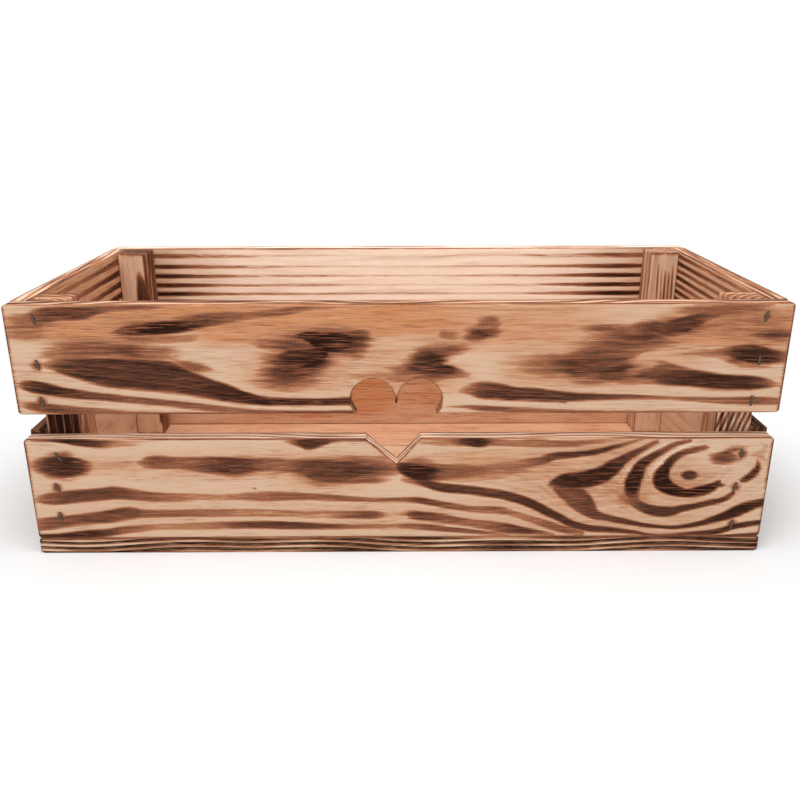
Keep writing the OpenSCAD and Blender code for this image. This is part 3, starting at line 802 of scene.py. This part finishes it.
    def mesh(self, sheet, faces, rim, inward, crowns, wood):
        """Joins the outer and inner faces of the board with walls and paints all three."""
        along, across = sheet.T
        edge = np.maximum(self.inside(along, across), 0)
        edge[:rim] = 0
        round_off = self.rounding(along)
        rounding = round_off - np.sqrt(np.maximum(round_off ** 2 - np.maximum(round_off - edge, 0) ** 2, 0))
        burn, flame = zip(*(self.scorch(along, across, edge, side, crowns) for side in (0, 1)))
        depth = [rounding + self.relief(along, across, edge, side, burn[side], flame[side], crowns)
                 for side in (0, 1)]
        depth[1] = self.thick - depth[1]
        # The walls repeat the rim at even steps between the two rounded edges.
        steps = max(4, round(self.thick / WALL_STEP))
        wall = [round_off[:rim] + (self.thick - 2 * round_off[:rim]) * i / steps for i in range(1, steps)]
        deep = np.concatenate([depth[0], depth[1], *wall])
        flat = np.concatenate([sheet, sheet, *[sheet[:rim]] * len(wall)])
        end_grain = (np.abs(inward[:, 0]) > .7) * 1.0
        rim_burn = np.concatenate([self.wall_burn(along[:rim], across[:rim], deep_in) + .1 * end_grain
                                   for deep_in in wall])
        burns = np.concatenate([burn[0], burn[1], rim_burn])
        rim_flame = np.tile(np.where(end_grain > 0, .5, self.walls[1]), len(wall))
        flames = np.concatenate([flame[0], flame[1], rim_flame])
        warmths_and_light = np.concatenate([self.warmed_and_lit(along, across, side) for side in (0, 1)]
                                 + [np.full(len(rim_burn), self.gold[-1])])
        counts = np.concatenate([self.rings(along, across, deep[:len(along)], 0),
                                 self.rings(along, across, deep[len(along):2 * len(along)]),
                                 self.rings(*flat[2 * len(along):].T, deep[2 * len(along):]) * self.fine])
        where = np.empty((len(deep), 3))
        where[:, self.axes[0]], where[:, self.axes[1]] = flat.T
        where[:, self.axes[2]] = self.face - self.out * deep
        total = len(sheet)
        levels = [np.arange(rim)] + [2 * total + rim * i + np.arange(rim) for i in range(len(wall))]
        levels.append(total + np.arange(rim))
        turned = [np.roll(level, -1) for level in levels]
        walls = np.concatenate([np.stack([a, c, d, b], 1) for a, b, c, d in
                                zip(levels, turned, levels[1:], turned[1:])])
        # Some boards are seen mirrored, and their faces are wound the other way round.
        handed = np.linalg.det(np.eye(3)[self.axes]) * self.out > 0
        front, back = (faces, faces[:, ::-1] + total) if handed else (faces[:, ::-1], faces + total)
        walls = walls if handed else walls[:, ::-1]
        self.add(where * MM, front.tolist() + back.tolist() + walls.tolist(),
                 {"burn": burns, "ring_burn": flames, "warmth": warmths_and_light, "ring": counts}, wood)

    def add(self, points, faces, values, wood):
        """Adds the board to the scene in place of its CAD node, with its painted values at its points."""
        made = bpy.data.meshes.new(f"{self.name}_wood")
        made.from_pydata(points.tolist(), [], faces)
        made.polygons.foreach_set("use_smooth", [True] * len(made.polygons))
        for key, value in values.items():
            made.attributes.new(key, "FLOAT", "POINT").data.foreach_set("value", value.astype(np.float32))
        made.materials.append(wood)
        piece = bpy.data.objects.new(f"{self.name}_wood", made)
        bpy.context.scene.collection.objects.link(piece)
        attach(piece, "root")
        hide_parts(self.name)

    def scorch(self, along, across, edge, side, crowns):
        """How burnt each point of a face is, with painted shade and the painted shadow round each staple, and
        how far the flame darkened its soft rings.
        """
        burn = np.zeros(len(along))
        flame = np.full(len(along), float(self.flame[side]))
        flame = flame * (.35 + 1.1 * clouds(along, across, 70, self.seed * 10 + side))
        if self.marks[side]:
            for stations in self.marks[side].values():
                burn = np.maximum(burn, mark_at(along, across, stations))
            smoke = self.smoked_and_shaded(along, across) if side == 0 else 0
            for stations in (self.clear or {}).values():
                smoke = smoke * (1 - mark_at(along, across, stations))
            burn = np.maximum(burn, smoke)
        else:
            blotch = clouds(along, across, 55, self.seed * 10 + side + 5)
            burn = np.clip(blotch - 1 + self.flame[side] * .55, 0, 1) * 1.3
        from_end = np.minimum(along - self.low[0], self.high[0] - along)
        uneven = .1 + .8 * clouds(along + across * 3, across * 0, 45, self.seed * 10 + side + 3)
        burn = np.maximum(burn, uneven * np.exp(-(edge / EDGE_CHAR) ** 2))
        burn = np.maximum(burn, (uneven + .25) * np.exp(-(from_end / END_CHAR) ** 2))
        # Round each staple on the outer face the wood is painted darker: the painted shadow of the hollow
        # round its crown.
        if side == 0:
            for x, z, _ in crowns:
                near = np.hypot(along - x, across - z)
                burn = np.maximum(burn, .8 * np.exp(-(near / STAPLE_SHADOW_REACH) ** 2))
        return burn, flame

    def smoked_and_shaded(self, along, across):
        """How dark the smoke round the burns is, with any painted shade in the board's list: soft spots that
        join without a seam.
        """
        wide = clouds(along, across, 22, self.seed * 10 + 6) - .5
        small = clouds(along, across, 9, self.seed * 10 + 7) - .5
        along, across = along + 9 * wide + 5 * small, across + 2.6 * wide + 1.8 * small
        clear, wiped = np.ones(len(along)), np.zeros(len(along))
        for x, z, reach, rise, much in self.smoke:
            spot = abs(much) * np.exp(-(((along - x) / reach) ** 2 + ((across - z) / rise) ** 2) ** 2)
            if much > 0:
                clear *= 1 - spot * .8
            else:
                wiped = np.maximum(wiped, spot)
        return np.minimum((1 - clear) / .8, .8 + .2 * (1 - clear)) - wiped

    def warmed_and_lit(self, along, across, side):
        """How golden the flame turned each point of a face, and below 0 how pale it is, which on some faces
        is painted light.
        """
        low = self.gold[side]
        gold = np.full(len(along), float(low))
        for x, z, reach, rise, much in self.warmth[side]:
            share = np.exp(-((along - x) / reach) ** 4 - ((across - z) / rise) ** 4)
            gold = np.maximum(gold, low + (much - low) * share)
        if self.torn and side == 0:
            for stations in self.torn.values():
                gold -= .9 * mark_at(along, across, stations)
        return gold

    def relief(self, along, across, edge, side, burn, flame, crowns):
        """How far the brush and the stapler pushed each point below the flat of the board."""
        crate = bpy.context.scene.crate
        year = self.rings(along, across, 0 if side == 0 else self.thick, side) % 1
        soft = np.sin(np.clip(year, 0, 1) * pi) ** 2
        depth = crate.sink / MM * (.5 * burn + .5 * soft * flame) * np.clip(edge / 2, 0, 1)
        if side == 0:
            for x, z, turn in crowns:
                run = (along - x) * cos(turn) + (across - z) * sin(turn)
                off = np.hypot(np.maximum(np.abs(run) - STAPLE_HALF + .6, 0),
                               (across - z) * cos(turn) - (along - x) * sin(turn))
                dip = np.clip(DENT_REACH - off, 0, 1)
                depth = np.maximum(depth, crate.dent / MM * dip * dip * (3 - 2 * dip))
        return depth

    def wall_burn(self, along, across, deep):
        """How burnt the board's narrow edges are: dark along both arrises and at the ends."""
        near = np.minimum(deep, self.thick - deep)
        blotch = clouds(along + across, deep * 3, 30, self.seed * 10 + 8)
        arris = (.3 + self.walls[0]) * np.exp(-(near / END_CHAR) ** 2)
        return np.maximum(arris, np.clip(blotch * .9 - .45 + self.walls[0] + self.lean * along, 0, 1))


def add_camera(scene):
    """Adds the camera in front of the box and looks through it."""
    camera = bpy.data.objects.new("camera", bpy.data.cameras.new("camera"))
    camera.data.lens, camera.data.sensor_width = CAMERA_LENS, CAMERA_SENSOR
    camera.data.shift_y = CAMERA_SHIFT
    camera.data.clip_start = .01
    turn = Matrix.Rotation(radians(CAMERA_TURN), 4, "Z")
    turn = turn @ Matrix.Rotation(radians(90 - CAMERA_DOWN), 4, "X")
    turn = turn @ Matrix.Rotation(radians(CAMERA_ROLL), 4, "Z")
    camera.matrix_world = Matrix.Translation(Vector(CAMERA_PLACE) * MM) @ turn
    scene.collection.objects.link(camera)
    scene.camera = camera


def add_sky(scene):
    """Adds an even sky that shows plain white and lights the box at half that strength."""
    world = bpy.data.worlds.new("soft_sky")
    world.use_nodes = True
    scene.world = world
    wire = Wire(world.node_tree)
    seen = seen_rays(wire)
    sky = world.node_tree.nodes["Background"]
    sky.inputs["Color"].default_value = (1, 1, 1, 1)
    level = .5 + seen * .5
    world.node_tree.links.new(level.socket, sky.inputs["Strength"])


def add_lamps(scene):
    """Adds the soft square lamps, turned to the middle of the box."""
    for name, place, size, power in LAMPS:
        lamp = bpy.data.lights.new(name, "AREA")
        lamp.size, lamp.energy = size, power
        shown = bpy.data.objects.new(name, lamp)
        shown.location = place
        aim = Vector(LAMPS_AIM) - Vector(place)
        shown.rotation_euler = aim.to_track_quat("-Z", "Y").to_euler()
        scene.collection.objects.link(shown)


def add_floor(scene):
    """Adds the floor, which belongs to the stage and not to the box."""
    sheet = bpy.data.meshes.new("floor")
    corners = [(x * FLOOR_REACH, y * FLOOR_REACH, 0) for x, y in ((-1, -1), (1, -1), (1, 1), (-1, 1))]
    sheet.from_pydata(corners, [], [(0, 1, 2, 3)])
    sheet.materials.append(pale_floor())
    floor = bpy.data.objects.new("floor", sheet)
    scene.collection.objects.link(floor)


class CRATE_OT_stage(Operator):
    """Sets the camera, the pale floor and the soft light."""

    bl_idname = "crate.stage"
    bl_label = "Set the Stage"

    def execute(self, context):
        context.scene.view_settings.view_transform = "Standard"
        for add in (add_camera, add_sky, add_lamps, add_floor):
            add(context.scene)
        return {"FINISHED"}


def build_all(lying, boards):
    """Builds a group of boards in one wood."""
    wood = scorched_wood(lying)
    for board in boards:
        board.build(wood)
    return {"FINISHED"}


class CRATE_OT_front_slats(Operator):
    """Builds the two front slats, the upper with the heart's lobes and the lower with its point."""

    bl_idname = "crate.front_slats"
    bl_label = "Build the Front Slats"

    def execute(self, context):
        upper = Board("front_upper_slat", "slat", 1, pith=(-60, 30), slope=(.03, .02), pitch=5,
                      flame=(.12, .4), marks=(UPPER_MARKS, None), smoke=UPPER_SMOKE, clear=UPPER_CLEAR,
                      warmth=(UPPER_WARMTH, ()), gold=(.05, .6, .3), walls=(.05, 1.2), cut="heart",
                      flow=UPPER_FLOW)
        # Its edges are painted in the pale fresh tone: partly the wood's own paleness, partly painted light
        # that lifts the shade the upper slat and the notch cast on them.
        lower = Board("front_lower_slat", "slat", 2, pith=(14, 38), slope=(-.01, .01), pitch=3.5,
                      flame=(.05, .4), marks=(LOWER_MARKS, None), smoke=LOWER_SMOKE_AND_SHADE, torn=TORN,
                      warmth=(LOWER_WARMTH, ()), gold=(.05, .5, -.8), walls=(-.15, .45), cut="notch",
                      flow=LOWER_FLOW, fine=1)
        return build_all("slat", (upper, lower))


class CRATE_OT_back_slats(Operator):
    """Builds the two back slats."""

    bl_idname = "crate.back_slats"
    bl_label = "Build the Back Slats"

    def execute(self, context):
        # Its inner face is painted in the pale fresh tone, partly the unburnt wood's own colour and partly
        # painted light, as if more light fell on it.
        upper = Board("back_upper_slat", "slat", 3, pith=(-58, 20), slope=(.004, .01), pitch=7.5,
                      flame=(.8, .1), marks=(None, BACK_STRIPES), warmth=((), BACK_WARMTH_AND_LIGHT),
                      gold=(.2, -1.3, -1.5), walls=(-.15, .15), coarse=1.1)
        lower = Board("back_lower_slat", "slat", 4, pith=(8, 16), slope=(.02, .05), pitch=6, flame=(.8, .15),
                      warmth=((), BACK_LOW_WARMTH), gold=(.2, .45), coarse=1.1)
        return build_all("slat", (upper, lower))


class CRATE_OT_side_slats(Operator):
    """Builds the four side slats."""

    bl_idname = "crate.side_slats"
    bl_label = "Build the Side Slats"

    def execute(self, context):
        charred, toasted = (.45, .5), (.2, .4)
        boards = (
            Board("left_upper_slat", "side", 5, pith=(50, 18), slope=(.03, .05), pitch=7, flame=(.9, .2),
                  marks=(None, LEFT_STRIPES), gold=(.2, .8, -.4), walls=toasted),
            Board("left_lower_slat", "side", 6, pith=(-10, 22), slope=(.05, .08), pitch=6, flame=(.9, .15),
                  gold=(.2, .2), walls=charred),
            Board("right_upper_slat", "side", 7, pith=(52, 15), slope=(-.03, .04), pitch=7, flame=(.9, .2),
                  marks=(None, RIGHT_STRIPES), gold=(.2, .35, -.4), walls=toasted),
            Board("right_lower_slat", "side", 8, pith=(14, 20), slope=(.04, -.07), pitch=6, flame=(.9, .15),
                  gold=(.2, 0), walls=charred),
        )
        return build_all("side", boards)


class CRATE_OT_posts(Operator):
    """Builds the four corner posts."""

    bl_idname = "crate.posts"
    bl_label = "Build the Corner Posts"

    def execute(self, context):
        boards = (
            Board("post_front_left", "post", 9, pith=(-14, 12), slope=(.02, .02), pitch=4, flame=(.5, .3),
                  marks=(POST_STREAKS["front left"], None), gold=(.2, .6), walls=(.2, .3), fine=1),
            Board("post_front_right", "post", 10, pith=(18, 10), slope=(.03, .02), pitch=4, flame=(.3, .3),
                  marks=(POST_STREAKS["front right"], None), gold=(-1, .4), walls=(.05, .2), fine=1),
            Board("post_back_left", "post", 11, pith=(-20, 14), slope=(.02, .02), pitch=4.5, flame=(.5, .2),
                  marks=(None, POST_STREAKS["back left"]), gold=(.2, .2), walls=(.5, .4), fine=1),
            Board("post_back_right", "post", 12, pith=(16, 12), slope=(.02, .02), pitch=4.5, flame=(.5, .2),
                  marks=(None, POST_STREAKS["back right"]), gold=(.2, 0), walls=(.05, .3), fine=1),
        )
        return build_all("post", boards)


class CRATE_OT_floor_boards(Operator):
    """Builds the three floor boards."""

    bl_idname = "crate.floor_boards"
    bl_label = "Build the Floor Boards"

    def execute(self, context):
        boards = (
            Board("floor_board_front", "floor", 13, pith=(-33, 60), slope=(.002, .004), pitch=3.3,
                  flame=(.6, .15), gold=(.1, .1, -.1), walls=(.3, 1.9), lean=.0012, fine=1, coarse=1.2),
            Board("floor_board_middle", "floor", 14, pith=(6, 18), slope=(.02, .05), pitch=6, flame=(.5, .12),
                  gold=(.1, .3), coarse=1.2),
            Board("floor_board_back", "floor", 15, pith=(45, 20), slope=(-.02, .03), pitch=6, flame=(.5, .12),
                  gold=(.1, .7), walls=(.1, .8), coarse=1.2),
        )
        return build_all("floor", boards)


class CRATE_OT_staples(Operator):
    """Gives the staples their dull zinc."""

    bl_idname = "crate.staples"
    bl_label = "Finish the Staples"

    def execute(self, context):
        metal = zinc_wire()
        for name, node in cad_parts.items():
            if name.endswith("staples"):
                node.data.materials.clear()
                node.data.materials.append(metal)
        return {"FINISHED"}


class CRATE_PT_box(Panel):
    """The card box's sizes, colours and building steps."""

    bl_label = "Card Crate"
    bl_space_type = "VIEW_3D"
    bl_region_type = "UI"
    bl_category = "Card Crate"

    def draw(self, context):
        for group in (context.scene.crate, context.scene.finish):
            for name in group.bl_rna.properties.keys():
                if name not in ("rna_type", "name"):
                    self.layout.prop(group, name)
        for step in STEPS:
            self.layout.operator(step.bl_idname)


STEPS = (CRATE_OT_stage, CRATE_OT_front_slats, CRATE_OT_back_slats, CRATE_OT_side_slats, CRATE_OT_posts,
         CRATE_OT_floor_boards, CRATE_OT_staples)
CLASSES = (Crate, Finish, *STEPS, CRATE_PT_box)


def register():
    for made in CLASSES:
        bpy.utils.register_class(made)
    bpy.types.Scene.crate = PointerProperty(type=Crate)
    bpy.types.Scene.finish = PointerProperty(type=Finish)


def unregister():
    del bpy.types.Scene.crate, bpy.types.Scene.finish
    for made in reversed(CLASSES):
        bpy.utils.unregister_class(made)


def main():
    """Builds the whole box."""
    register()
    for step in STEPS:
        group, name = step.bl_idname.split(".")
        getattr(getattr(bpy.ops, group), name)()


if __name__ == "__main__":
    main()
